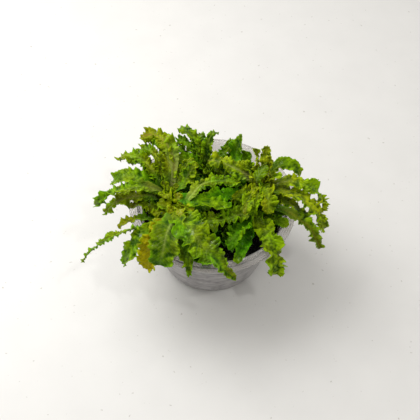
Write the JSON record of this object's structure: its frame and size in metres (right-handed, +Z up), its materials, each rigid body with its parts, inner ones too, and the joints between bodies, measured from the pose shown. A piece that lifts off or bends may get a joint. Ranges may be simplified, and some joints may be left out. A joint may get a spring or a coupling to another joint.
{
  "type": "pogostemon",
  "caption": "Pogostemon aquarium plants with crinkled green strap leaves, rooted in dark substrate in a clear plastic tub.",
  "frame": {"origin": "centre of the tub's flat base, on the surface that it stands on", "axes": "+Z up along the tub's axis; the leaves that hang over the near rim lie to -Y, and +X is to their right"},
  "size_m": [0.1688, 0.1332, 0.0996],
  "materials": {
    "clear_plastic": "clear and glossy, slightly grey",
    "sleeve_film": "thin grey film, satin",
    "substrate": "wet near-black granules",
    "stem": "waxy olive green",
    "leaf_left": "waxy mid green, glossy",
    "leaf_rear_left": "waxy yellow-green, glossy",
    "leaf_rear": "waxy deep green, glossy",
    "leaf_right": "waxy light green, glossy",
    "leaf_front": "waxy mid green, glossy"
  },
  "bodies": {
    "root": {"leaf_front_brown_rib": "leaf_front", "leaf_front_crinkled": "leaf_front", "leaf_front_dark": "leaf_front", "leaf_front_frilly": "leaf_front", "leaf_front_over_rim": "leaf_front", "leaf_front_smooth": "leaf_front", "leaf_front_tipped": "leaf_front", "leaf_left_curled": "leaf_left", "leaf_left_edge_on": "leaf_left", "leaf_left_inner": "leaf_left", "leaf_left_lobe": "leaf_left", "leaf_left_long_front": "leaf_left", "leaf_left_olive": "leaf_left", "leaf_left_over_front": "leaf_left", "leaf_left_ribbed": "leaf_left", "leaf_left_under_front": "leaf_left", "leaf_left_yellow": "leaf_left", "leaf_left_young_a": "leaf_left", "leaf_left_young_b": "leaf_left", "leaf_left_young_c": "leaf_left", "leaf_rear_fan": "leaf_rear", "leaf_rear_hook": "leaf_rear", "leaf_rear_left_brown_rib": "leaf_rear_left", "leaf_rear_left_far": "leaf_rear_left", "leaf_rear_left_inner": "leaf_rear_left", "leaf_rear_left_narrow": "leaf_rear_left", "leaf_rear_left_serrated": "leaf_rear_left", "leaf_rear_left_smooth": "leaf_rear_left", "leaf_rear_left_upright": "leaf_rear_left", "leaf_rear_left_young_a": "leaf_rear_left", "leaf_rear_left_young_b": "leaf_rear_left", "leaf_rear_loop": "leaf_rear", "leaf_rear_low_back": "leaf_rear", "leaf_rear_low_inner": "leaf_rear", "leaf_rear_low_left": "leaf_rear", "leaf_rear_right": "leaf_rear", "leaf_rear_two_lobed": "leaf_rear", "leaf_rear_young_a": "leaf_rear", "leaf_right_across": "leaf_right", "leaf_right_arch": "leaf_right", "leaf_right_bright": "leaf_right", "leaf_right_broad": "leaf_right", "leaf_right_crossing": "leaf_right", "leaf_right_hanging": "leaf_right", "leaf_right_hooked": "leaf_right", "leaf_right_low_back": "leaf_right", "leaf_right_short": "leaf_right", "leaf_right_upright_a": "leaf_right", "leaf_right_upright_b": "leaf_right", "leaf_right_young_a": "leaf_right", "soil": "substrate", "stem_front": "stem", "stem_left": "stem", "stem_rear": "stem", "stem_rear_left": "stem", "stem_right": "stem", "tub": "clear_plastic", "wrap": "sleeve_film"}
  },
  "joints": []
}
